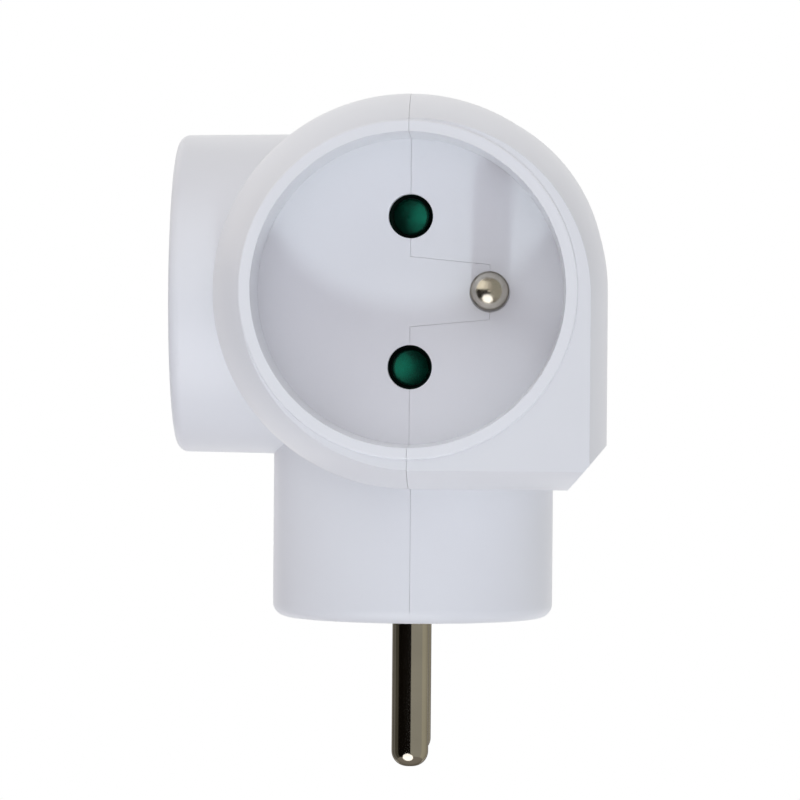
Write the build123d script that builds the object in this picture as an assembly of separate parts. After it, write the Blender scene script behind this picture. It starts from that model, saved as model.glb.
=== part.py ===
from build123d import *
import os

# Three-way socket adapter: one plug with two pins, three socket outlets with sprung shutters.
# Lengths in millimetres. Origin at the centre of the plug's end face. +Z runs up from the pins,
# -Y is the front outlet's side, +Y the rear outlet's and -X the side outlet's.

# Contact system shared by the plug and the three outlets
PIN_R = 2.4
PIN_PITCH = 19.0
PIN_LENGTH = 19.0
PIN_TIP_ROUND = 2.0
SHANK_R = 2.0
HOLE_R = 2.8
EARTH_OFFSET = 10.0
EARTH_PROUD = 14.0
RECESS_DEPTH = 15.0
RECESS_MOUTH_R = 19.35
RECESS_FLOOR_R = 19.25

# Housing, outside
AXIS_Z = 42.55
BAR_R = 24.82
CORNER_X = 4.84
CORNER_Z = 5.7
CORNER_TAPER = 0.55
RIM_Y = 44.0
LIP_HEIGHT = 0.35
LIP = 1.48
LIP_ROUND = 0.3
FLANK_DROP = 3.27
FACE_SHIFT_X = 0.85
FACE_SHIFT_Z = -0.6
FLANK_STEPS = 4
BLOCK_Y = 12.0
BLOCK_END_Y = 20.0
BLOCK_FLAT = 2.4
BLOCK_END_FLAT = 0.7
BARREL_RIM_X = 31.25
BARREL_RIM_R = 20.95
BARREL_SPREAD = 0.45
BARREL_ROUND = 1.5
SPIGOT_R = 18.5
SPIGOT_ROUND = 1.8

# Housing, inside
WALL = 2.2
FLOOR = 2.4
CHAMBER = 5.0
BULKHEAD = 1.4
PARTING_GAP = 0.03
PARTING_DEPTH = 0.05
TONGUE_ROOT = 4.5
TONGUE_END = 3.45
TONGUE_GAP = 0.02
PASSAGE_R = 3.2
COVER_R = 15.0
COVER_RING = 1.4
RIB_Y = 5.1
RIB = 1.4
RIB_FOOT = 2.3
RIB_REACH = 1.0
PIN_RIB_Z = 4.2
PIN_RIB = 2.0
ROOT = 0.5

# Fits
SNUG = 0.05
RUNNING = 0.1
EASY = 0.2
PIN_RELIEF = 0.15

# Shutter: a rotor on a pivot at the middle of each outlet
PIVOT_R = 1.9
HUB_R = 2.8
ROTOR_R = 6.2
ROTOR_FRONT = 5.0
ROTOR_PLATE = 1.2
PAD_R = 2.9
RAMP_R = 2.35
RAMP_HIGH = 2.7
RAMP_LOW = 4.6
RAMP_ROUND = 0.3
ARM = 4.4
PEG_R = 0.5
PEG_U = -4.2
STOP_R = 0.7

# Hairpin return spring bent from strip
SPRING_R = 2.9
SPRING_T = 0.3
SPRING_FRONT = 3.1
SPRING_BACK = 4.7
LEG_FIXED = 7.4
LEG_FREE = 5.2
POST_U = -6.4

# Contact strips
STRIP = 0.8
STRIP_HALF = 3.0
JAW_GAP = 2.2
JAW_FLARE = 0.9
JAW_FLARE_LENGTH = 1.3
JAW_LENGTH = 9.0
JAW_DROP = 3.0
WEB_RISE = 2.9
JAW_INSET = 9.4
LEG_Y0 = 6.0
LEG_Y1 = 11.0
FOOT_Y1 = 13.0
FOOT_Z = 12.2
FOOT_HALF = 3.4
LIVE_LEG_X = 6.6
NEUTRAL_LEG_X = 4.4

# Earth path
EARTH_X0 = 8.6
EARTH_X1 = 14.0
EARTH_FLANGE = 3.5
EARTH_FLANGE_INSET = 9.2
EARTH_ARM = 2.5
EARTH_LEG = 3.0
EARTH_FOOT_Z = 18.0
EARTH_COLLAR_R = 3.4
EARTH_COLLAR = 1.8
RIVET_R = 1.5
RIVET_HEAD_R = 2.0
RIVET_HEAD = 0.8
PIN_COLLAR_R = 3.6
SLEEVE_BORE_R = 2.45
SLEEVE_R = 3.1
SLEEVE_MOUTH_Z = 0.3
SLEEVE_COLLAR_R = 3.9
SLIT = 0.6
SLIT_TOP_Z = 12.0
RING_R = 3.55
RING_Z0 = 7.4
RING_Z1 = 9.8

# Housing screws, driven from the flat side
SCREW_R = 1.45
SCREW_HEAD_R = 2.7
SCREW_HEAD = 2.0
SCREW_SEAT_X = 9.0
SCREW_END_X = -6.3
POST_R = 3.0
SINK_R = 2.9
SINK_POST_R = 4.2
SINK_FLOOR = 1.5
HEAD_ROUND = 0.6
CROSS = 3.2
CROSS_WIDTH = 0.6
CROSS_DEPTH = 1.1
TOP_SCREW_IN = 6.2
LOW_POST_GAP = 0.62
LOW_SCREW_Y = 15.0

# Derived places
POLE = PIN_PITCH / 2
FACE_Y = RIM_Y - LIP_HEIGHT
FLOOR_Y = RIM_Y - RECESS_DEPTH
FLOOR_X = BARREL_RIM_X - RECESS_DEPTH
BULKHEAD_TOP = -(FLOOR + CHAMBER)
BULKHEAD_BACK = BULKHEAD_TOP - BULKHEAD
JAW_Y = FLOOR_Y - JAW_INSET
JAW_X = FLOOR_X - JAW_INSET
EARTH_Z = AXIS_Z - EARTH_FLANGE
TOP_SCREW_Z = AXIS_Z + BAR_R - TOP_SCREW_IN
LOW_WEB_Z = AXIS_Z - POLE - WEB_RISE - STRIP
LOW_SCREW_Z = LOW_WEB_Z - LOW_POST_GAP - POST_R
SCREWS = [(0, TOP_SCREW_Z), (-LOW_SCREW_Y, LOW_SCREW_Z), (LOW_SCREW_Y, LOW_SCREW_Z)]
FAR = 4 * RIM_Y

# Outlet planes: origin at the middle of the recess floor, normal out of the recess
FRONT = Plane(origin=(0, -FLOOR_Y, AXIS_Z), x_dir=(1, 0, 0), z_dir=(0, -1, 0))
REAR = Plane(origin=(0, FLOOR_Y, AXIS_Z), x_dir=(1, 0, 0), z_dir=(0, 1, 0))
SIDE = Plane(origin=(-FLOOR_X, 0, AXIS_Z), x_dir=(0, -1, 0), z_dir=(-1, 0, 0))
OUTLETS = {"front": FRONT, "side": SIDE, "rear": REAR}
BAR = Plane(origin=(0, 0, AXIS_Z), x_dir=(1, 0, 0), z_dir=(0, -1, 0))


def brick(x0, x1, y0, y1, z0, z1):
    """Box between two opposite corners."""
    middle = Pos((x0 + x1) / 2, (y0 + y1) / 2, (z0 + z1) / 2)
    return middle * Box(x1 - x0, y1 - y0, z1 - z0)


def rod(plane, u, v, radius, w0, w1):
    """Cylinder along a plane's normal between two heights."""
    return plane.location * Pos(u, v, (w0 + w1) / 2) * Cylinder(radius, w1 - w0)


def upright(x, y, radius, z0, z1):
    """Cylinder along Z."""
    return rod(Plane.XY, x, y, radius, z0, z1)


def across(y, z, radius, x0, x1):
    """Cylinder along X."""
    return rod(Plane.YZ, y, z, radius, x0, x1)


def bar_section(r):
    """Cross bar's section: three quarters of a circle and one squared, cut-off corner."""
    arc = CenterArc((0, 0), r, 0, 270)
    bottom = Line((0, -r), (r - CORNER_X, -r))
    cut = Line((r - CORNER_X, -r), (r, CORNER_Z - r))
    flat = Line((r, CORNER_Z - r), (r, 0))
    return make_face([arc, bottom, cut, flat])


def square_section(r, u, v):
    """Cross bar's section with its corner left whole, about a shifted middle."""
    arc = CenterArc((u, v), r, 0, 270)
    bottom = Line((u, v - r), (u + r, v - r))
    flat = Line((u + r, v - r), (u + r, v))
    return make_face([arc, bottom, flat])


def corner_triangle(more):
    """Triangle outside the cut-off corner, moved in along the bottom by the given amount."""
    low = (BAR_R - 2 * CORNER_X - more, -BAR_R - CORNER_Z)
    out = (BAR_R + CORNER_X, -BAR_R - CORNER_Z)
    high = (BAR_R + CORNER_X, 2 * CORNER_Z - BAR_R + more * CORNER_Z / CORNER_X)
    return make_face(Polyline(low, out, high, close=True))


def corner_wedge():
    """Strip that is cut off the bar's squared corner, a little deeper towards the two faces."""
    strip = extrude(BAR.offset(-FLOOR_Y) * corner_triangle(0), 2 * FLOOR_Y)
    ends = [BAR.offset(FLOOR_Y) * corner_triangle(0), BAR.offset(RIM_Y) * corner_triangle(CORNER_TAPER)]
    tip = loft(ends, ruled=True)
    return strip + tip + mirror(tip, Plane.XZ)


def block_section(flat):
    """Upper quarter of the middle block, flush with the bar at its top and side."""
    square = Pos(BAR_R / 2, BAR_R / 2) * Rectangle(BAR_R, BAR_R)
    corner = square.vertices().sort_by(Axis.X)[-2:].sort_by(Axis.Y)[-1]
    return fillet(corner, BAR_R - flat)


def nose():
    """Front end of the bar: swelling flank, flat face and raised lip."""
    length = FACE_Y - FLOOR_Y
    swell = (length**2 + FLANK_DROP**2) / (2 * FLANK_DROP)
    sections = []
    for step in range(FLANK_STEPS + 1):
        along = length * step / FLANK_STEPS
        drop = swell - (swell**2 - along**2) ** 0.5
        share = drop / FLANK_DROP
        outline = square_section(BAR_R - drop, share * FACE_SHIFT_X, share * FACE_SHIFT_Z)
        sections.append(BAR.offset(FLOOR_Y + along) * outline)
    flank = loft(sections)
    lip = Cylinder(RECESS_MOUTH_R + LIP, 2 * LIP_HEIGHT)
    lip = fillet(lip.edges().sort_by(Axis.Z)[-1], LIP_ROUND)
    return flank + BAR.location * Pos(0, 0, FACE_Y) * lip


def recess(plane):
    """Tapered recess cut from the rim down to the floor."""
    depth = RECESS_DEPTH
    cone = Cone(RECESS_FLOOR_R, RECESS_MOUTH_R, depth)
    clear = rod(plane, 0, 0, RECESS_MOUTH_R, depth, 2 * depth)
    return plane.location * Pos(0, 0, depth / 2) * cone + clear


def outer_body():
    """Whole outside of the housing before it is hollowed and parted."""
    middle = extrude(BAR.offset(-FLOOR_Y) * square_section(BAR_R, 0, 0), 2 * FLOOR_Y)
    front = nose()
    rear = mirror(front, Plane.XZ)
    block = extrude(BAR.offset(-BLOCK_Y) * block_section(BLOCK_FLAT), 2 * BLOCK_Y)
    end_sections = [BAR.offset(BLOCK_Y) * block_section(BLOCK_FLAT)]
    end_sections.append(BAR.offset(BLOCK_END_Y) * block_section(BLOCK_END_FLAT))
    block_end = loft(end_sections, ruled=True)
    barrel = Cone(BARREL_RIM_R + BARREL_SPREAD, BARREL_RIM_R, BARREL_RIM_X)
    barrel = fillet(barrel.edges().filter_by(GeomType.CIRCLE).sort_by(Axis.Z)[-1], BARREL_ROUND)
    barrel = SIDE.location * Pos(0, 0, RECESS_DEPTH - BARREL_RIM_X / 2) * barrel
    spigot = upright(0, 0, SPIGOT_R, 0, AXIS_Z)
    spigot = fillet(spigot.edges().filter_by(GeomType.CIRCLE).sort_by(Axis.Z)[0], SPIGOT_ROUND)
    body = middle + front + rear - corner_wedge()
    body += block + block_end + mirror(block_end, Plane.XZ)
    return body + barrel + spigot


def cavities():
    """Inside space between the three recess floors and the plug's end wall."""
    length = FLOOR_Y - FLOOR
    bar = extrude(BAR.offset(-length) * bar_section(BAR_R - WALL), 2 * length)
    cup = rod(SIDE, 0, 0, RECESS_FLOOR_R + WALL, -FLOOR, FAR)
    side = rod(SIDE, 0, 0, RECESS_FLOOR_R, -FLOOR_X, -FLOOR)
    plug = upright(0, 0, SPIGOT_R - WALL, FLOOR, AXIS_Z)
    return ((bar + plug) - cup) + side


def earth_slot(plane, half, w0, w1):
    """Straight slot from the parting plane out to the earth pin."""
    slot = Pos(EARTH_OFFSET / 2, 0, (w0 + w1) / 2) * Box(EARTH_OFFSET, 2 * half, w1 - w0)
    return plane.location * slot + rod(plane, EARTH_OFFSET, 0, half, w0, w1)


def tongue(plane, gap):
    """Tapered floor tongue that closes the earth pin's slot as far as the pin's middle."""
    root = TONGUE_ROOT + gap
    end = TONGUE_END + gap
    tip = EARTH_OFFSET + gap
    outline = Polyline((-1, -root), (tip, -end), (tip, end), (-1, root), close=True)
    return extrude(plane.offset(-FLOOR) * make_face(outline), FLOOR)


def bulkhead(plane):
    """Inner wall behind a shutter, open for the plug pins and the earth pin."""
    wall = extrude(plane.offset(BULKHEAD_BACK) * bar_section_on(plane, BAR_R - WALL + ROOT), BULKHEAD)
    for v in (-POLE, POLE):
        wall -= rod(plane, 0, v, PASSAGE_R, BULKHEAD_BACK - 1, BULKHEAD_TOP + 1)
    return wall - earth_slot(plane, PIN_R + EASY, BULKHEAD_BACK - 1, BULKHEAD_TOP + 1)


def bar_section_on(plane, r):
    """Bar section turned to suit an outlet plane, squared corner kept low."""
    if plane.y_dir.Z > 0:
        return bar_section(r)
    return mirror(bar_section(r), Plane.XZ)


def earth_hole(plane):
    """Hole for an earth pin's shank, opened out at the floor so that a fine ring shows round the pin."""
    narrow = SHANK_R + SNUG
    wide = PIN_R + PIN_RELIEF
    depth = wide - narrow
    sink = plane.location * Pos(EARTH_OFFSET, 0, -depth / 2) * Cone(narrow, wide, depth)
    return rod(plane, EARTH_OFFSET, 0, narrow, -FLOOR - 1, 1) + sink


def floor_stubs(plane):
    """Pivot, rest stop and spring post standing on the inner side of a floor."""
    deep = -(FLOOR + CHAMBER - EASY)
    pivot = rod(plane, 0, 0, PIVOT_R, deep, -FLOOR)
    stop = rod(plane, -(PAD_R + EASY + STOP_R), POLE, STOP_R, -(ROTOR_FRONT + ROTOR_PLATE), -FLOOR)
    post_v = SPRING_R + SPRING_T / 2 + STOP_R
    post = rod(plane, POST_U, post_v, STOP_R, -(ROTOR_FRONT - RUNNING), -FLOOR)
    return [pivot, stop, post]


def floor_holes(plane):
    """Two pin holes through a floor."""
    upper = rod(plane, 0, POLE, HOLE_R, -FLOOR - 0.1, 1)
    lower = rod(plane, 0, -POLE, HOLE_R, -FLOOR - 0.1, 1)
    return upper + lower


def parting_groove():
    """Thin grooves that set the two halves' visible edges apart."""
    g = PARTING_GAP / 2
    d = PARTING_DEPTH
    ends = brick(-g, g, -FAR, -(FLOOR_Y - d), -FAR, FAR) + brick(-g, g, FLOOR_Y - d, FAR, -FAR, FAR)
    top = brick(-g, g, -FAR, FAR, AXIS_Z + BAR_R - d, FAR)
    foot = brick(-g, g, -FAR, FAR, -FAR, d)
    plug = brick(-g, g, -FAR, -(SPIGOT_R - d), -FAR, AXIS_Z - BAR_R + d)
    return ends + top + foot + plug + mirror(plug, Plane.XZ)


def housings():
    """Left and right halves of the housing, parted on the plane x = 0."""
    outer = outer_body()
    shell = outer - cavities()
    for plane in OUTLETS.values():
        shell -= recess(plane)
        shell -= floor_holes(plane)
    shell += bulkhead(FRONT)
    shell += bulkhead(REAR)
    pin_rib = upright(0, 0, SPIGOT_R - WALL + ROOT, PIN_RIB_Z, PIN_RIB_Z + PIN_RIB)
    shell += pin_rib
    for y in (-POLE, POLE):
        shell -= upright(0, y, SHANK_R + SNUG, -1, PIN_RIB_Z + PIN_RIB + 1)
        shell -= upright(0, y, PIN_COLLAR_R + RUNNING, FLOOR, PIN_RIB_Z)
    shell -= upright(EARTH_OFFSET, 0, SLEEVE_R + SNUG, -1, PIN_RIB_Z + PIN_RIB + 1)
    shell -= parting_groove()

    left = shell & brick(-FAR, 0, -FAR, FAR, -FAR, FAR)
    right = shell & brick(0, FAR, -FAR, FAR, -FAR, FAR)

    for plane in (FRONT, REAR):
        left += tongue(plane, 0) - earth_hole(plane)
        right -= tongue(plane, TONGUE_GAP)
        right -= earth_hole(plane)
    for plane in OUTLETS.values():
        for stub in floor_stubs(plane):
            left += stub
    left -= earth_hole(SIDE)

    ring = rod(SIDE, 0, 0, COVER_R, BULKHEAD_TOP, -FLOOR)
    left += ring - rod(SIDE, 0, 0, COVER_R - COVER_RING, BULKHEAD_TOP - 1, 0)
    for y, z in SCREWS:
        left += across(y, z, POST_R, -FLOOR_X + FLOOR - ROOT, 0) & outer
        left -= across(y, z, SCREW_R + SNUG, SCREW_END_X - 1, 1)
        right += across(y, z, POST_R, 0, SCREW_SEAT_X)
        right += across(y, z, SINK_POST_R, SCREW_SEAT_X - SINK_FLOOR, FAR) & outer
        right -= across(y, z, SCREW_R + EASY, -1, SCREW_SEAT_X + 1)
        right -= across(y, z, SINK_R, SCREW_SEAT_X, FAR)
    right += comb_ribs(outer)
    return left, right


def web_slots(x0, x1):
    """Slots for the live and neutral webs, one snug gap larger all round."""
    slots = []
    for low in (AXIS_Z + POLE + WEB_RISE, LOW_WEB_Z):
        slots.append(brick(x0, x1, -FAR, FAR, low - RUNNING, low + STRIP + RUNNING))
    return slots


def comb_ribs(outer):
    """Two upright ribs in the right half with slots for the strips."""
    ribs = []
    foot_z = AXIS_Z - BAR_R + RIB_FOOT
    head_z = AXIS_Z + BAR_R - WALL / 2
    for y in (-RIB_Y, RIB_Y):
        rib = brick(0, FAR, y - RIB / 2, y + RIB / 2, foot_z, head_z) & outer
        for slot in web_slots(-1, STRIP_HALF + RUNNING):
            rib -= slot
        rib -= brick(-1, EARTH_X1 + RUNNING, -FAR, FAR, EARTH_Z - RUNNING, EARTH_Z + STRIP + RUNNING)
        ribs.append(rib)
    return ribs[0] + ribs[1]


def shutter_cover():
    """Plate behind the side shutter with two slotted ribs that carry the strips."""
    plate = rod(SIDE, 0, 0, COVER_R, BULKHEAD_BACK, BULKHEAD_TOP)
    for v in (-POLE, POLE):
        plate -= rod(SIDE, 0, v, PASSAGE_R, BULKHEAD_BACK - 1, BULKHEAD_TOP + 1)
    plate -= rod(SIDE, EARTH_OFFSET, 0, PIN_R + EASY, BULKHEAD_BACK - 1, BULKHEAD_TOP + 1)
    back_x = -FLOOR_X - BULKHEAD_BACK
    reach = POLE + WEB_RISE + STRIP + RIB_REACH
    for y in (-RIB_Y, RIB_Y):
        rib = brick(back_x - ROOT, 0, y - RIB / 2, y + RIB / 2, AXIS_Z - reach, AXIS_Z + reach)
        for slot in web_slots(-STRIP_HALF - RUNNING, 1):
            rib -= slot
        plate += rib
    return plate


def jaw_plan():
    """Plan of one sprung jaw: two leaves with a flared mouth, entry at y = 0."""
    inner = JAW_GAP
    outer = JAW_GAP + STRIP
    points = [(inner + JAW_FLARE, 0), (outer + JAW_FLARE, 0), (outer, JAW_FLARE_LENGTH), (outer, JAW_LENGTH)]
    points += [(inner, JAW_LENGTH), (inner, JAW_FLARE_LENGTH)]
    leaf = make_face(Polyline(*points, close=True))
    return leaf + mirror(leaf, Plane.YZ)


def pole_strip(side):
    """Strip of one pole: T-shaped web, three jaws, and a leg down to its plug pin.

    side is +1 for the strip above the outlets' middle and -1 for the strip below it.
    """
    pole_z = AXIS_Z + side * POLE
    web_low = pole_z + WEB_RISE if side > 0 else LOW_WEB_Z
    jaw_low = pole_z - JAW_DROP if side > 0 else pole_z - WEB_RISE
    jaw_high = pole_z + WEB_RISE if side > 0 else pole_z + JAW_DROP
    jaw = extrude(jaw_plan(), jaw_high - jaw_low)
    web = brick(-STRIP_HALF, STRIP_HALF, -JAW_Y + JAW_FLARE_LENGTH, JAW_Y - JAW_FLARE_LENGTH, web_low, web_low + STRIP)
    web += brick(-JAW_X + JAW_FLARE_LENGTH, STRIP_HALF, -STRIP_HALF, STRIP_HALF, web_low, web_low + STRIP)
    strip = web + Pos(0, -JAW_Y, jaw_low) * jaw
    strip += Pos(0, JAW_Y, jaw_low) * Rot(0, 0, 180) * jaw
    strip += Pos(-JAW_X, 0, jaw_low) * Rot(0, 0, -90) * jaw
    y0 = LEG_Y0 if side > 0 else -LEG_Y1
    y1 = LEG_Y1 if side > 0 else -LEG_Y0
    foot_y0 = LEG_Y0 if side > 0 else -FOOT_Y1
    foot_y1 = FOOT_Y1 if side > 0 else -LEG_Y0
    if side > 0:
        leg_x0 = LIVE_LEG_X
        strip += brick(STRIP_HALF - ROOT, LIVE_LEG_X + STRIP, y0, y1, web_low, web_low + STRIP)
        strip += brick(-FOOT_HALF, LIVE_LEG_X + STRIP, foot_y0, foot_y1, FOOT_Z, FOOT_Z + STRIP)
    else:
        leg_x0 = -NEUTRAL_LEG_X
        strip += brick(-NEUTRAL_LEG_X, -STRIP_HALF + ROOT, y0, y1, web_low, web_low + STRIP)
        strip += brick(-NEUTRAL_LEG_X, FOOT_HALF, foot_y0, foot_y1, FOOT_Z, FOOT_Z + STRIP)
    strip += brick(leg_x0, leg_x0 + STRIP, y0, y1, FOOT_Z, web_low + STRIP)
    return strip - upright(0, side * POLE, RIVET_R, FOOT_Z - 1, FOOT_Z + STRIP + 1)


def earth_strip():
    """Earth strip: flat plate with three upturned flanges and a leg down to the plug's sleeve."""
    flange_y = FLOOR_Y - EARTH_FLANGE_INSET
    flange_x = FLOOR_X - EARTH_FLANGE_INSET
    strip = brick(EARTH_X0, EARTH_X1, -flange_y, flange_y, EARTH_Z, EARTH_Z + STRIP)
    arm_y0 = -EARTH_OFFSET - EARTH_ARM
    arm_y1 = -EARTH_OFFSET + EARTH_ARM
    strip += brick(-flange_x, EARTH_X0 + ROOT, arm_y0, arm_y1, EARTH_Z, EARTH_Z + STRIP)
    strip += brick(EARTH_X1 - STRIP, EARTH_X1, -EARTH_LEG, EARTH_LEG, EARTH_FOOT_Z, EARTH_Z + STRIP)
    strip += brick(EARTH_OFFSET - EARTH_FLANGE, EARTH_X1, -EARTH_LEG, EARTH_LEG, EARTH_FOOT_Z, EARTH_FOOT_Z + STRIP)
    for plane in OUTLETS.values():
        plate = Pos(EARTH_OFFSET, 0, -EARTH_FLANGE_INSET - STRIP / 2) * Box(2 * EARTH_FLANGE, 2 * EARTH_FLANGE, STRIP)
        strip += plane.location * plate
    for plane in OUTLETS.values():
        strip -= rod(plane, EARTH_OFFSET, 0, RIVET_R, -EARTH_FLANGE_INSET - STRIP - 1, -EARTH_FLANGE_INSET + 1)
    return strip - upright(EARTH_OFFSET, 0, RIVET_R, EARTH_FOOT_Z - 1, EARTH_FOOT_Z + STRIP + 1)


def earth_pin(plane):
    """Earth pin of an outlet: round-ended shaft, collar under the floor, riveted tail."""
    root = -EARTH_FLANGE_INSET
    shaft = rod(plane, EARTH_OFFSET, 0, PIN_R, 0, EARTH_PROUD - PIN_R)
    shaft += rod(plane, EARTH_OFFSET, 0, SHANK_R, root, 0)
    tip = plane.location * Pos(EARTH_OFFSET, 0, EARTH_PROUD - PIN_R) * Sphere(PIN_R)
    collar = rod(plane, EARTH_OFFSET, 0, EARTH_COLLAR_R, -FLOOR - EARTH_COLLAR, -FLOOR)
    tail = rod(plane, EARTH_OFFSET, 0, RIVET_R, root - STRIP - RIVET_HEAD, root)
    head = rod(plane, EARTH_OFFSET, 0, RIVET_HEAD_R, root - STRIP - RIVET_HEAD, root - STRIP)
    return shaft + tip + collar + tail + head


def plug_pin(y):
    """Plug pin: rounded end, collar behind the end wall, riveted tail in the strip's foot."""
    shaft = upright(0, y, PIN_R, -PIN_LENGTH, 0)
    shaft = fillet(shaft.edges().filter_by(GeomType.CIRCLE).sort_by(Axis.Z)[0], PIN_TIP_ROUND)
    shaft += upright(0, y, SHANK_R, 0, FOOT_Z)
    collar = upright(0, y, PIN_COLLAR_R, FLOOR, PIN_RIB_Z)
    tail = upright(0, y, RIVET_R, FOOT_Z, FOOT_Z + STRIP + RIVET_HEAD)
    head = upright(0, y, RIVET_HEAD_R, FOOT_Z + STRIP, FOOT_Z + STRIP + RIVET_HEAD)
    return shaft + collar + tail + head


def earth_sleeve():
    """Slit tube in the plug that takes the supply outlet's earth pin."""
    x = EARTH_OFFSET
    body = upright(x, 0, SLEEVE_R, SLEEVE_MOUTH_Z, EARTH_FOOT_Z)
    body += upright(x, 0, SLEEVE_COLLAR_R, FLOOR, PIN_RIB_Z)
    body += upright(x, 0, RIVET_R, EARTH_FOOT_Z, EARTH_FOOT_Z + STRIP + RIVET_HEAD)
    body += upright(x, 0, RIVET_HEAD_R, EARTH_FOOT_Z + STRIP, EARTH_FOOT_Z + STRIP + RIVET_HEAD)
    body -= upright(x, 0, SLEEVE_BORE_R, SLEEVE_MOUTH_Z - 1, EARTH_FOOT_Z - STRIP)
    slit_low = PIN_RIB_Z + PIN_RIB + EASY
    body -= brick(x - SLIT / 2, x + SLIT / 2, -FAR, FAR, slit_low, SLIT_TOP_Z)
    return body - brick(x - FAR, x + FAR, -SLIT / 2, SLIT / 2, slit_low, SLIT_TOP_Z)


def sleeve_ring():
    """Spring ring that closes the slit sleeve on the pin."""
    ring = upright(EARTH_OFFSET, 0, RING_R, RING_Z0, RING_Z1) - upright(EARTH_OFFSET, 0, SLEEVE_R, RING_Z0 - 1, RING_Z1 + 1)
    return ring - brick(EARTH_OFFSET, EARTH_OFFSET + FAR, -SLIT, SLIT, RING_Z0 - 1, RING_Z1 + 1)


def rotor():
    """Shutter in outlet coordinates: disc, two arms, and two opposed ramps behind the pin holes."""
    back = -(ROTOR_FRONT + ROTOR_PLATE)
    mid = -(ROTOR_FRONT + ROTOR_PLATE / 2)
    body = rod(Plane.XY, 0, 0, ROTOR_R, back, -ROTOR_FRONT)
    body += Pos(0, 0, mid) * Box(ARM, 2 * POLE, ROTOR_PLATE)
    for v in (-POLE, POLE):
        body += rod(Plane.XY, 0, v, PAD_R, back, -ROTOR_FRONT)
    body += rod(Plane.XY, 0, 0, HUB_R, -(FLOOR + CHAMBER - EASY), back)
    peg_v = -(SPRING_R + SPRING_T / 2 + SNUG + PEG_R)
    body += rod(Plane.XY, PEG_U, peg_v, PEG_R, -ROTOR_FRONT, -SPRING_FRONT)
    ramp = rod(Plane.XY, 0, 0, RAMP_R, -ROTOR_FRONT, 0)
    slope = [(-RAMP_R, -RAMP_LOW), (RAMP_R, -RAMP_HIGH), (RAMP_R, FAR), (-RAMP_R, FAR)]
    wedge = make_face(Polyline(*slope, close=True))
    ramp -= extrude(Plane.XZ.offset(-FAR / 2) * wedge, FAR)
    ramp = fillet(ramp.faces().sort_by(Axis.Z)[-1].edges(), RAMP_ROUND)
    body += Pos(0, POLE, 0) * ramp
    body += Pos(0, -POLE, 0) * Rot(0, 0, 180) * ramp
    return body - rod(Plane.XY, 0, 0, PIVOT_R + RUNNING, -FAR, FAR)


def hairpin():
    """Return spring in outlet coordinates: a strip bent round the pivot with two legs."""
    r0 = SPRING_R - SPRING_T / 2
    r1 = SPRING_R + SPRING_T / 2
    bend = rod(Plane.XY, 0, 0, r1, -SPRING_BACK, -SPRING_FRONT) - rod(Plane.XY, 0, 0, r0, -FAR, FAR)
    bend &= brick(0, FAR, -FAR, FAR, -FAR, FAR)
    fixed = brick(-LEG_FIXED, 0, r0, r1, -SPRING_BACK, -SPRING_FRONT)
    free = brick(-LEG_FREE, 0, -r1, -r0, -SPRING_BACK, -SPRING_FRONT)
    return bend + fixed + free


def screw(y, z):
    """Housing screw with a cross-recessed pan head."""
    body = across(y, z, SCREW_R, SCREW_END_X, SCREW_SEAT_X)
    head = across(y, z, SCREW_HEAD_R, SCREW_SEAT_X, SCREW_SEAT_X + SCREW_HEAD)
    top = SCREW_SEAT_X + SCREW_HEAD
    head = fillet(head.edges().filter_by(GeomType.CIRCLE).sort_by(Axis.X)[-1], HEAD_ROUND)
    for long_y, long_z in ((CROSS, CROSS_WIDTH), (CROSS_WIDTH, CROSS)):
        head -= Pos(top, y, z) * Box(2 * CROSS_DEPTH, long_y, long_z)
    return body + head


os.makedirs("parts", exist_ok=True)
parts = {}
parts["left_housing"], parts["right_housing"] = housings()
parts["side_shutter_cover"] = shutter_cover()
parts["live_strip"] = pole_strip(1)
parts["neutral_strip"] = pole_strip(-1)
parts["earth_strip"] = earth_strip()
parts["live_plug_pin"] = plug_pin(POLE)
parts["neutral_plug_pin"] = plug_pin(-POLE)
parts["plug_earth_sleeve"] = earth_sleeve()
parts["plug_earth_ring"] = sleeve_ring()
for name, plane in OUTLETS.items():
    parts[name + "_earth_pin"] = earth_pin(plane)
    parts[name + "_shutter"] = plane.location * rotor()
    parts[name + "_shutter_spring"] = plane.location * hairpin()
parts["top_screw"] = screw(*SCREWS[0])
parts["front_screw"] = screw(*SCREWS[1])
parts["rear_screw"] = screw(*SCREWS[2])

for name, shape in parts.items():
    solids = shape.solids()
    print(name, len(solids), round(sum(s.volume for s in solids), 1))
    export_step(shape, "parts/" + name + ".step")
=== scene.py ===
"""Looks of a multi socket adapter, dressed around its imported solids.

Lengths are metres in the part's own frame: the origin is the centre of the plug's end face, +Z runs up
from the pins, -Y points out of the front outlet and -X out of the side outlet.
"""

import logging
import math
from dataclasses import dataclass
from enum import Enum

import bpy
from mathutils import Matrix, Vector

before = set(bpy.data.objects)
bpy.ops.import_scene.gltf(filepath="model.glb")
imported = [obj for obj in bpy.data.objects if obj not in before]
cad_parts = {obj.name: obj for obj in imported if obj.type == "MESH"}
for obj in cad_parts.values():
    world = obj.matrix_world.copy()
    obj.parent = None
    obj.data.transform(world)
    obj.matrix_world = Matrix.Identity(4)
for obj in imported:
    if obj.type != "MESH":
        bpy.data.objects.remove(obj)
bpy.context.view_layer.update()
LOG = logging.getLogger("adapter")

Colour = tuple[float, float, float]
Place = tuple[float, float, float]

# Most values of a noise pattern lie in this range.
NOISE_LOW = 0.3
NOISE_HIGH = 0.7
COARSE_DETAIL = 3.0
FINE_DETAIL = 2.0
# Width over which the lip's painted highlight sets in.
LIP_HIGHLIGHT_STEP = 0.00005
HOLLOW_SAMPLES = 16
EDGE_SAMPLES = 6


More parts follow.
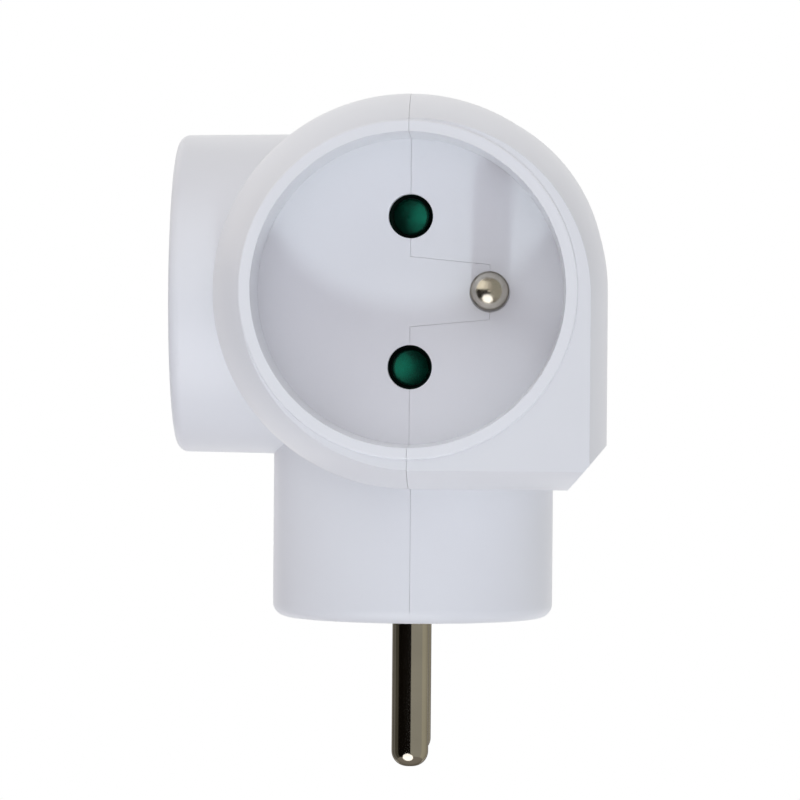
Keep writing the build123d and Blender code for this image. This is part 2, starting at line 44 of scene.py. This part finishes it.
class Grain(Enum):
    """Direction in which a metal piece was drawn or polished."""

    X = (0.02, 1.0, 1.0)
    Y = (1.0, 0.02, 1.0)
    Z = (1.0, 1.0, 0.02)
    NONE = (1.0, 1.0, 1.0)


class Desk:
    """Node tree of one new material, with short calls for adding and joining nodes."""

    def __init__(self, name: str) -> None:
        """Start a material with its output and surface shader.

        Args:
            name: Name of the material.
        """
        self.material = bpy.data.materials.new(name)
        self.material.use_nodes = True
        self.tree = self.material.node_tree
        self.tree.nodes.clear()
        self.output = self.tree.nodes.new("ShaderNodeOutputMaterial")
        self.shader = self.tree.nodes.new("ShaderNodeBsdfPrincipled")
        self.join(self.shader, "BSDF", self.output, "Surface")
        self.place = self.tree.nodes.new("ShaderNodeTexCoord")

    def join(self, source: bpy.types.Node, out: str, target: bpy.types.Node, into: str) -> None:
        """Link one node's output to another's input.

        Args:
            source: Node that gives the value.
            out: Name of its output.
            target: Node that takes the value.
            into: Name of its input.
        """
        self.tree.links.new(source.outputs[out], target.inputs[into])

    def noise(self, scale: float, detail: float, stretch: Place = (1.0, 1.0, 1.0)) -> bpy.types.Node:
        """Add a noise pattern on object coordinates.

        Args:
            scale: Waves per metre, roughly.
            detail: Octaves of finer noise.
            stretch: Scale factor along each axis.

        Returns:
            The noise node.
        """
        mapping = self.tree.nodes.new("ShaderNodeMapping")
        mapping.inputs["Scale"].default_value = stretch
        self.join(self.place, "Object", mapping, "Vector")
        node = self.tree.nodes.new("ShaderNodeTexNoise")
        node.inputs["Scale"].default_value = scale
        node.inputs["Detail"].default_value = detail
        self.join(mapping, "Vector", node, "Vector")
        return node

    def spread(self, source: bpy.types.Node, low: float, high: float) -> bpy.types.Node:
        """Map a noise's middle range to a range of values.

        Args:
            source: Noise node.
            low: Value at the pattern's low end.
            high: Value at its high end.

        Returns:
            The map range node.
        """
        node = self.tree.nodes.new("ShaderNodeMapRange")
        node.inputs["From Min"].default_value = NOISE_LOW
        node.inputs["From Max"].default_value = NOISE_HIGH
        node.inputs["To Min"].default_value = low
        node.inputs["To Max"].default_value = high
        self.join(source, "Fac", node, "Value")
        return node

    def tint(self, source: bpy.types.Node, first: Colour, second: Colour) -> None:
        """Vary the base colour between two tones along a pattern.

        Args:
            source: Noise node that drives the change.
            first: Tone at the pattern's low end.
            second: Tone at its high end.
        """
        ramp = self.tree.nodes.new("ShaderNodeValToRGB")
        low, high = ramp.color_ramp.elements
        low.position, low.color = NOISE_LOW, (*first, 1.0)
        high.position, high.color = NOISE_HIGH, (*second, 1.0)
        self.join(source, "Fac", ramp, "Fac")
        self.join(ramp, "Color", self.shader, "Base Color")

    def paint_end_highlight(self, distance: float, gain: float) -> None:
        """Paint a highlight into the base colour where the surface lies past a distance along Y, either
        way.

        Args:
            distance: Distance from the middle at which the painted highlight starts.
            gain: Factor on the base colour there.
        """
        parts = self.tree.nodes.new("ShaderNodeSeparateXYZ")
        self.join(self.place, "Object", parts, "Vector")
        size = self.tree.nodes.new("ShaderNodeMath")
        size.operation = "ABSOLUTE"
        self.join(parts, "Y", size, "Value")
        past = self.tree.nodes.new("ShaderNodeMapRange")
        past.inputs["From Min"].default_value = distance
        past.inputs["From Max"].default_value = distance + LIP_HIGHLIGHT_STEP
        past.inputs["To Min"].default_value = 1.0
        past.inputs["To Max"].default_value = gain
        self.join(size, "Value", past, "Value")
        self.scale_tone(past)

    def shade_hollows(self, reach: float, shares: tuple[float, float], depth_tone: float) -> None:
        """Paint shade into the base colour where other surfaces shut the light out.

        Args:
            reach: Distance within which a surface shuts light out.
            shares: Open shares of the surroundings at which the full and the darkest tone show.
            depth_tone: Factor on the base colour at its darkest.
        """
        open_share, closed_share = shares
        hollow = self.tree.nodes.new("ShaderNodeAmbientOcclusion")
        hollow.samples = HOLLOW_SAMPLES
        hollow.inputs["Distance"].default_value = reach
        share = self.tree.nodes.new("ShaderNodeMapRange")
        share.inputs["From Min"].default_value = closed_share
        share.inputs["From Max"].default_value = open_share
        share.inputs["To Min"].default_value = depth_tone
        share.inputs["To Max"].default_value = 1.0
        self.join(hollow, "AO", share, "Value")
        self.scale_tone(share)

    def scale_tone(self, factor: bpy.types.Node) -> None:
        """Multiply the base colour by a factor that changes over the surface.

        Args:
            factor: Map range node that gives the factor.
        """
        colour = self.shader.inputs["Base Color"].links[0].from_socket
        scaled = self.tree.nodes.new("ShaderNodeVectorMath")
        scaled.operation = "SCALE"
        self.tree.links.new(colour, scaled.inputs["Vector"])
        self.join(factor, "Result", scaled, "Scale")
        self.join(scaled, "Vector", self.shader, "Base Color")

    def relief(self, source: bpy.types.Node, height: float, strength: float, edge: float = 0.0) -> None:
        """Raise a pattern as bump, over softened edges where an edge radius is given.

        Args:
            source: Noise node that gives the heights.
            height: Height of the pattern.
            strength: Share of the bump that shows.
            edge: Radius by which sharp edges are softened.
        """
        bump = self.tree.nodes.new("ShaderNodeBump")
        bump.inputs["Strength"].default_value = strength
        bump.inputs["Distance"].default_value = height
        self.join(source, "Fac", bump, "Height")
        if edge > 0.0:
            bevel = self.tree.nodes.new("ShaderNodeBevel")
            bevel.samples = EDGE_SAMPLES
            bevel.inputs["Radius"].default_value = edge
            self.join(bevel, "Normal", bump, "Normal")
        self.join(bump, "Normal", self.shader, "Normal")


def shade(colour: Colour, factor: float) -> Colour:
    """Return a colour made lighter or darker by a factor."""
    return tuple(channel * factor for channel in colour)


@dataclass(frozen=True)
class MouldedPlastic:
    """Injection-moulded plastic: faint flow clouds, fine tool grain, softened edges.

    The lip is the distance along Y past which a painted highlight makes the tone lighter. Hollows get
    painted shade within their reach.
    """

    name: str
    colour: Colour
    roughness: float = 0.36
    roughness_spread: float = 0.03
    roughness_scale: float = 420.0
    cloud: float = 0.012
    cloud_scale: float = 70.0
    grain: float = 9000.0
    grain_height: float = 0.00001
    grain_strength: float = 0.25
    edge: float = 0.0001
    lip: float = 0.0
    lip_highlight_gain: float = 1.045
    gloss: float = 0.5
    hollow_reach: float = 0.0
    hollow_shares: tuple[float, float] = (0.57, 0.40)
    hollow_tone: float = 0.04

    def material(self) -> bpy.types.Material:
        """Build the plastic's material.

        Returns:
            The new material.
        """
        desk = Desk(self.name)
        clouds = desk.noise(self.cloud_scale, COARSE_DETAIL)
        desk.tint(clouds, shade(self.colour, 1.0 - self.cloud), shade(self.colour, 1.0 + self.cloud))
        # Painted highlight on the outlets' lips.
        if self.lip > 0.0:
            desk.paint_end_highlight(self.lip, self.lip_highlight_gain)
        # Painted shade in hollows.
        if self.hollow_reach > 0.0:
            desk.shade_hollows(self.hollow_reach, self.hollow_shares, self.hollow_tone)
        desk.shader.inputs["Specular IOR Level"].default_value = self.gloss
        patches = desk.noise(self.roughness_scale, FINE_DETAIL)
        smooth, rough = self.roughness - self.roughness_spread, self.roughness + self.roughness_spread
        desk.join(desk.spread(patches, smooth, rough), "Result", desk.shader, "Roughness")
        grain = desk.noise(self.grain, FINE_DETAIL)
        desk.relief(grain, self.grain_height, self.grain_strength, self.edge)
        return desk.material


@dataclass(frozen=True)
class DrawnMetal:
    """Drawn, plated or stamped metal: fine lines along its length and a little unevenness of tone.

    The glancing tone tints what it mirrors at a glancing angle; a dark one paints shade along the
    piece's outline.
    """

    name: str
    colour: Colour
    roughness: float
    grain: Grain = Grain.NONE
    glancing_tone: Colour = (1.0, 1.0, 1.0)
    wear: float = 0.05
    wear_scale: float = 160.0
    line_scale: float = 5000.0
    line_height: float = 0.000004
    line_strength: float = 0.3
    line_roughness: tuple[float, float] = (0.85, 1.2)
    edge: float = 0.0001

    def material(self) -> bpy.types.Material:
        """Build the metal's material.

        Returns:
            The new material.
        """
        desk = Desk(f"{self.name}_{self.grain.name.lower()}")
        desk.shader.inputs["Metallic"].default_value = 1.0
        # A dark glancing tone is painted shade on the outline.
        desk.shader.inputs["Specular Tint"].default_value = (*self.glancing_tone, 1.0)
        worn = desk.noise(self.wear_scale, COARSE_DETAIL)
        desk.tint(worn, shade(self.colour, 1.0 - self.wear), shade(self.colour, 1.0 + self.wear))
        lines = desk.noise(self.line_scale, FINE_DETAIL, self.grain.value)
        smooth, rough = (self.roughness * share for share in self.line_roughness)
        desk.join(desk.spread(lines, smooth, rough), "Result", desk.shader, "Roughness")
        desk.relief(lines, self.line_height, self.line_strength, self.edge)
        return desk.material


# The white plastic's lighter lip is a painted highlight on the outlets' raised lips.
WHITE_PLASTIC = MouldedPlastic("white_plastic", (0.93, 0.936, 0.963), lip=0.0437, gloss=0.28)
INNER_PLASTIC = MouldedPlastic("inner_plastic", (0.80, 0.80, 0.79), roughness=0.5)
# The green shutters get painted shade deep in their holes.
GREEN_PLASTIC = MouldedPlastic(
    "green_plastic", (0.022, 0.70, 0.41), roughness=0.3, cloud=0.05, gloss=0.15, hollow_reach=0.008
)
BRASS = DrawnMetal("brass", (0.72, 0.55, 0.27), 0.3)
SPRING_STEEL = DrawnMetal("spring_steel", (0.45, 0.45, 0.46), 0.3)
ZINC = DrawnMetal("zinc", (0.55, 0.55, 0.57), 0.35)
NICKEL = (0.62, 0.58, 0.51)
# Painted shade: a dark glancing tone that darkens the nickel pins' outlines.
NICKEL_GLANCING_SHADE = (0.12, 0.11, 0.10)


def dress_node(node: str, finish: bpy.types.Material) -> None:
    """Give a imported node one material.

    Args:
        node: Name of the node.
        finish: Its material.
    """
    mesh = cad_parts[node].data
    mesh.materials.clear()
    mesh.materials.append(finish)
    LOG.info("dressed %s in %s", node, finish.name)


@dataclass
class Housing:
    """The two outer halves and the cover behind the side shutter."""

    halves: tuple[str, str] = ("left_housing", "right_housing")
    cover: str = "side_shutter_cover"

    def dress(self) -> None:
        """Give the halves their white plastic and the cover its duller one."""
        white = WHITE_PLASTIC.material()
        for half in self.halves:
            dress_node(half, white)
        dress_node(self.cover, INNER_PLASTIC.material())


@dataclass
class Outlet:
    """One socket outlet: its earth pin, shutter and return spring."""

    name: str
    pin_grain: Grain
    pin_roughness: float = 0.22
    pin_wear: float = 0.12

    def dress(self, green: bpy.types.Material, steel: bpy.types.Material) -> None:
        """Dress the outlet's pieces.

        Args:
            green: Material of the shutter.
            steel: Material of the return spring.
        """
        nickel = DrawnMetal(
            f"nickel_{self.name}", NICKEL, self.pin_roughness, self.pin_grain, NICKEL_GLANCING_SHADE, self.pin_wear
        )
        dress_node(f"{self.name}_earth_pin", nickel.material())
        dress_node(f"{self.name}_shutter", green)
        dress_node(f"{self.name}_shutter_spring", steel)


@dataclass
class Plug:
    """The plug's two pins, and the sleeve and ring that take a wall outlet's earth pin."""

    pins: tuple[str, str] = ("live_plug_pin", "neutral_plug_pin")
    sleeve: str = "plug_earth_sleeve"
    ring: str = "plug_earth_ring"
    pin_roughness: float = 0.09

    def dress(self, steel: bpy.types.Material) -> None:
        """Dress the plug's metal pieces.

        Args:
            steel: Material of the spring ring.
        """
        nickel = DrawnMetal("nickel_plug", NICKEL, self.pin_roughness, Grain.Z, NICKEL_GLANCING_SHADE).material()
        for piece in (*self.pins, self.sleeve):
            dress_node(piece, nickel)
        dress_node(self.ring, steel)


@dataclass
class Contacts:
    """The three stamped strips inside."""

    strips: tuple[str, ...] = ("live_strip", "neutral_strip", "earth_strip")

    def dress(self) -> None:
        """Give the strips their brass."""
        brass = BRASS.material()
        for strip in self.strips:
            dress_node(strip, brass)


@dataclass
class Fixings:
    """The three screws that hold the halves together."""

    screws: tuple[str, ...] = ("top_screw", "front_screw", "rear_screw")

    def dress(self) -> None:
        """Give the screws their zinc."""
        zinc = ZINC.material()
        for screw in self.screws:
            dress_node(screw, zinc)


@dataclass(frozen=True)
class Lamp:
    """A soft area lamp aimed at a point, which can be left out of reflections or of diffuse light."""

    name: str
    place: Place
    size: float
    watts: float
    colour: Colour = (1.0, 1.0, 1.0)
    mirrored: bool = True
    lights: bool = True
    aim: Place = (0.0, -0.03, 0.04)

    def build(self) -> None:
        """Add the lamp to the scene, turned towards its aim."""
        light = bpy.data.lights.new(self.name, "AREA")
        light.shape = "DISK"
        light.size = self.size
        light.energy = self.watts
        light.color = self.colour
        lamp = bpy.data.objects.new(self.name, light)
        lamp.visible_glossy = self.mirrored
        lamp.visible_diffuse = self.lights
        lamp.location = self.place
        lamp.rotation_mode = "QUATERNION"
        towards = Vector(self.aim) - Vector(self.place)
        lamp.rotation_quaternion = towards.to_track_quat("-Z", "Y")
        bpy.context.scene.collection.objects.link(lamp)


@dataclass(frozen=True)
class Glow:
    """Soft light of the surroundings from one side, fading away from its middle."""

    towards: Place
    tone: Colour
    falloff: float = 2.0

    def add(self, tree: bpy.types.NodeTree, way: bpy.types.NodeSocket) -> bpy.types.NodeSocket:
        """Add the glow's nodes to the world.

        Args:
            tree: The world's node tree.
            way: Direction in which the surroundings are seen.

        Returns:
            The glow's colour in that direction.
        """
        facing = tree.nodes.new("ShaderNodeVectorMath")
        facing.operation = "DOT_PRODUCT"
        facing.inputs[1].default_value = self.towards
        tree.links.new(way, facing.inputs[0])
        half = tree.nodes.new("ShaderNodeMath")
        half.operation = "MAXIMUM"
        half.inputs[1].default_value = 0.0
        tree.links.new(facing.outputs["Value"], half.inputs[0])
        fade = tree.nodes.new("ShaderNodeMath")
        fade.operation = "POWER"
        fade.inputs[1].default_value = self.falloff
        tree.links.new(half.outputs["Value"], fade.inputs[0])
        light = tree.nodes.new("ShaderNodeVectorMath")
        light.operation = "SCALE"
        light.inputs["Vector"].default_value = self.tone
        tree.links.new(fade.outputs["Value"], light.inputs["Scale"])
        return light.outputs["Vector"]


@dataclass(frozen=True)
class Tone:
    """One upright band of the room, between two bearings in degrees, 0 being the camera's side."""

    start: float
    end: float
    colour: Colour

    def holds(self, bearing: float) -> bool:
        """Tell whether a bearing in degrees lies in the band."""
        return self.start <= bearing < self.end


@dataclass
class Room:
    """Dark room on the camera's side, brighter at its crown, that shows only in reflections."""

    radius: float = 0.9
    height: float = 2.0
    middle: float = 0.3
    segments: int = 144
    end_slope: float = 0.5
    crown_foot: float = 0.16
    foot: Colour = (0.24, 0.22, 0.19)
    top: Colour = (0.30, 0.28, 0.25)
    tones: tuple[Tone, ...] = (
        Tone(-140.0, -105.0, (0.17, 0.165, 0.15)),
        Tone(-105.0, -78.0, (0.07, 0.065, 0.05)),
        Tone(-78.0, 4.0, (0.004, 0.003, 0.002)),
        Tone(4.0, 80.0, (0.34, 0.33, 0.285)),
        Tone(80.0, 140.0, (0.42, 0.40, 0.32)),
    )
    crown: tuple[Tone, ...] = (
        Tone(-140.0, -32.0, (1.15, 1.09, 0.95)),
        Tone(-32.0, -10.0, (0.85, 0.81, 0.71)),
        Tone(-10.0, 12.0, (0.52, 0.49, 0.43)),
    )

    def build(self) -> None:
        """Add the curved wall with its floor and ceiling, and hide it from all but mirrored rays."""
        bpy.ops.object.select_all(action="DESELECT")
        bpy.ops.mesh.primitive_cylinder_add(
            vertices=self.segments,
            radius=self.radius,
            depth=self.height,
            end_fill_type="NGON",
            location=(0.0, 0.0, self.middle),
        )
        wall = bpy.context.active_object
        wall.name = "room"
        bpy.ops.object.mode_set(mode="EDIT")
        bpy.ops.mesh.select_mode(type="FACE")
        bpy.ops.mesh.select_all(action="SELECT")
        bpy.ops.mesh.bisect(plane_co=(0.0, 0.0, self.crown_foot), plane_no=(0.0, 0.0, 1.0))
        bpy.ops.mesh.select_all(action="DESELECT")
        bpy.ops.object.mode_set(mode="OBJECT")
        self.paint_faces(wall.data)
        bpy.ops.object.mode_set(mode="EDIT")
        bpy.ops.mesh.delete(type="FACE")
        bpy.ops.object.mode_set(mode="OBJECT")
        wall.visible_camera = False
        wall.visible_diffuse = False
        wall.visible_shadow = False
        wall.visible_transmission = False
        LOG.info("room of %d panels", len(wall.data.polygons))

    def paint_faces(self, mesh: bpy.types.Mesh) -> None:
        """Paint each face with its band's tone, and select those that lie in no band.

        Args:
            mesh: Mesh of the room, with nothing selected.
        """
        paints = [(f"room_{number}", tone.colour) for number, tone in enumerate(self.tones)]
        foot = len(paints)
        paints += [("room_foot", self.foot), ("room_top", self.top)]
        top = foot + 1
        first_crown = len(paints)
        paints += [(f"room_crown_{number}", tone.colour) for number, tone in enumerate(self.crown)]
        for name, colour in paints:
            mesh.materials.append(self.paint(name, colour))
        for face in mesh.polygons:
            if abs(face.normal.z) > self.end_slope:
                face.material_index = top if face.normal.z > 0.0 else foot
                continue
            bearing = math.degrees(math.atan2(face.center.x, -face.center.y))
            held = [number for number, tone in enumerate(self.tones) if tone.holds(bearing)]
            if face.center.z + self.middle > self.crown_foot:
                crowned = [number for number, tone in enumerate(self.crown) if tone.holds(bearing)]
                held = [first_crown + number for number in crowned] + held
            face.material_index = held[0] if held else 0
            face.select = not held

    @staticmethod
    def paint(name: str, colour: Colour) -> bpy.types.Material:
        """Make the even material of one part of the room.

        Args:
            name: Name of the material.
            colour: Its tone, as a mirror would show it.

        Returns:
            The new material.
        """
        desk = Desk(name)
        desk.shader.inputs["Base Color"].default_value = (0.0, 0.0, 0.0, 1.0)
        desk.shader.inputs["Specular IOR Level"].default_value = 0.0
        desk.shader.inputs["Emission Color"].default_value = (*colour, 1.0)
        desk.shader.inputs["Emission Strength"].default_value = 1.0
        return desk.material


@dataclass
class Studio:
    """Camera, lamps, soft light from all sides, floor, and the room that the part mirrors."""

    camera_place: Place = (0.01158, -0.56051, 0.03402)
    yaw: float = 0.0240
    pitch: float = -0.0096
    roll: float = 0.0080
    focal_px: float = 4228.0
    picture_px: float = 800.0
    sensor_mm: float = 36.0
    near: float = 0.01
    far: float = 50.0
    floor_z: float = -0.75
    floor_size: float = 12.0
    floor_tone: Colour = (0.85, 0.85, 0.86)
    floor_roughness: float = 0.9
    glows: tuple[Glow, ...] = (
        Glow((0.0, -1.0, 0.0), (1.64, 1.62, 1.77), 10.0),
        Glow((0.0, 1.0, 0.0), (1.25, 1.25, 1.27)),
        Glow((-1.0, 0.0, 0.0), (0.11, 0.105, 0.115)),
        Glow((-0.94, 0.34, 0.0), (0.95, 0.92, 1.01), 10.0),
        Glow((1.0, 0.0, 0.0), (0.55, 0.575, 0.61)),
        Glow((0.0, 0.0, 1.0), (0.53, 0.51, 0.50)),
        Glow((0.0, 0.0, -1.0), (0.65, 0.61, 0.65)),
    )
    lamps: tuple[Lamp, ...] = (
        Lamp("low_lamp", (0.0, -0.39, -0.38), 0.06, 0.62, (0.84, 0.965, 1.0), mirrored=False),
        Lamp("low_glint", (-0.10, -0.39, -0.40), 0.60, 1.5, lights=False),
        Lamp("top_lamp", (0.0, -0.28, 0.52), 0.4, 0.34, mirrored=False),
        Lamp("left_lamp", (-0.52, -0.46, 0.47), 0.5, 0.91, (0.90, 0.97, 0.98), mirrored=False),
    )

    def build(self) -> None:
        """Build the whole studio round the part."""
        self.build_world()
        self.build_floor()
        Room().build()
        for lamp in self.lamps:
            lamp.build()
        self.build_camera()
        bpy.context.scene.view_settings.view_transform = "Standard"

    def build_camera(self) -> None:
        """Add the camera where the photograph was taken from."""
        data = bpy.data.cameras.new("camera")
        data.sensor_width = self.sensor_mm
        data.lens = self.focal_px * self.sensor_mm / self.picture_px
        data.clip_start = self.near
        data.clip_end = self.far
        camera = bpy.data.objects.new("camera", data)
        forward = Vector(
            (
                -math.sin(self.yaw) * math.cos(self.pitch),
                math.cos(self.yaw) * math.cos(self.pitch),
                math.sin(self.pitch),
            )
        )
        level = Vector((math.cos(self.yaw), math.sin(self.yaw), 0.0))
        upright = level.cross(forward)
        right = math.cos(self.roll) * level + math.sin(self.roll) * upright
        top = right.cross(forward)
        camera.rotation_mode = "QUATERNION"
        camera.rotation_quaternion = Matrix((right, top, -forward)).transposed().to_quaternion()
        camera.location = self.camera_place
        bpy.context.scene.collection.objects.link(camera)
        bpy.context.scene.camera = camera

    def build_world(self) -> None:
        """Light the part softly from all round, and show white behind it."""
        world = bpy.data.worlds.new("studio")
        bpy.context.scene.world = world
        world.use_nodes = True
        tree = world.node_tree
        tree.nodes.clear()
        output = tree.nodes.new("ShaderNodeOutputWorld")
        mix = tree.nodes.new("ShaderNodeMixShader")
        soft = tree.nodes.new("ShaderNodeBackground")
        tree.links.new(self.add_glows(tree), soft.inputs["Color"])
        white = tree.nodes.new("ShaderNodeBackground")
        white.inputs["Color"].default_value = (1.0, 1.0, 1.0, 1.0)
        white.inputs["Strength"].default_value = 1.0
        seen = self.seen_rays(tree)
        tree.links.new(seen.outputs["Value"], mix.inputs["Fac"])
        tree.links.new(soft.outputs["Background"], mix.inputs[1])
        tree.links.new(white.outputs["Background"], mix.inputs[2])
        tree.links.new(mix.outputs["Shader"], output.inputs["Surface"])

    def add_glows(self, tree: bpy.types.NodeTree) -> bpy.types.NodeSocket:
        """Add up the light of the surroundings.

        Args:
            tree: The world's node tree.

        Returns:
            The surroundings' colour in every direction.
        """
        way = tree.nodes.new("ShaderNodeTexCoord").outputs["Generated"]
        total = self.glows[0].add(tree, way)
        for glow in self.glows[1:]:
            both = tree.nodes.new("ShaderNodeVectorMath")
            tree.links.new(total, both.inputs[0])
            tree.links.new(glow.add(tree, way), both.inputs[1])
            total = both.outputs["Vector"]
        return total

    @staticmethod
    def seen_rays(tree: bpy.types.NodeTree) -> bpy.types.Node:
        """Tell the rays that show a surface from those that only light the part.

        Args:
            tree: Node tree to add to.

        Returns:
            Node whose value is 1 for camera, glossy and transmission rays.
        """
        path = tree.nodes.new("ShaderNodeLightPath")
        first = tree.nodes.new("ShaderNodeMath")
        first.operation = "MAXIMUM"
        both = tree.nodes.new("ShaderNodeMath")
        both.operation = "MAXIMUM"
        tree.links.new(path.outputs["Is Camera Ray"], first.inputs[0])
        tree.links.new(path.outputs["Is Glossy Ray"], first.inputs[1])
        tree.links.new(first.outputs["Value"], both.inputs[0])
        tree.links.new(path.outputs["Is Transmission Ray"], both.inputs[1])
        return both

    def build_floor(self) -> None:
        """Add the pale floor well below the part, white where it is seen."""
        bpy.ops.object.select_all(action="DESELECT")
        bpy.ops.mesh.primitive_plane_add(size=self.floor_size, location=(0.0, 0.0, self.floor_z))
        floor = bpy.context.active_object
        floor.name = "floor"
        desk = Desk("pale_floor")
        desk.shader.inputs["Base Color"].default_value = (*self.floor_tone, 1.0)
        desk.shader.inputs["Roughness"].default_value = self.floor_roughness
        glow = desk.tree.nodes.new("ShaderNodeEmission")
        glow.inputs["Strength"].default_value = 1.0
        mix = desk.tree.nodes.new("ShaderNodeMixShader")
        desk.join(self.seen_rays(desk.tree), "Value", mix, "Fac")
        desk.tree.links.new(desk.shader.outputs["BSDF"], mix.inputs[1])
        desk.tree.links.new(glow.outputs["Emission"], mix.inputs[2])
        desk.join(mix, "Shader", desk.output, "Surface")
        floor.data.materials.append(desk.material)
        floor.visible_diffuse = False


def main() -> None:
    """Dress every piece of the adapter and build the studio."""
    logging.basicConfig(level=logging.INFO, format="%(message)s")
    green = GREEN_PLASTIC.material()
    steel = SPRING_STEEL.material()
    Housing().dress()
    for outlet in (Outlet("front", Grain.Y), Outlet("side", Grain.X), Outlet("rear", Grain.Y)):
        outlet.dress(green, steel)
    Plug().dress(steel)
    Contacts().dress()
    Fixings().dress()
    Studio().build()


if __name__ == "__main__":
    main()
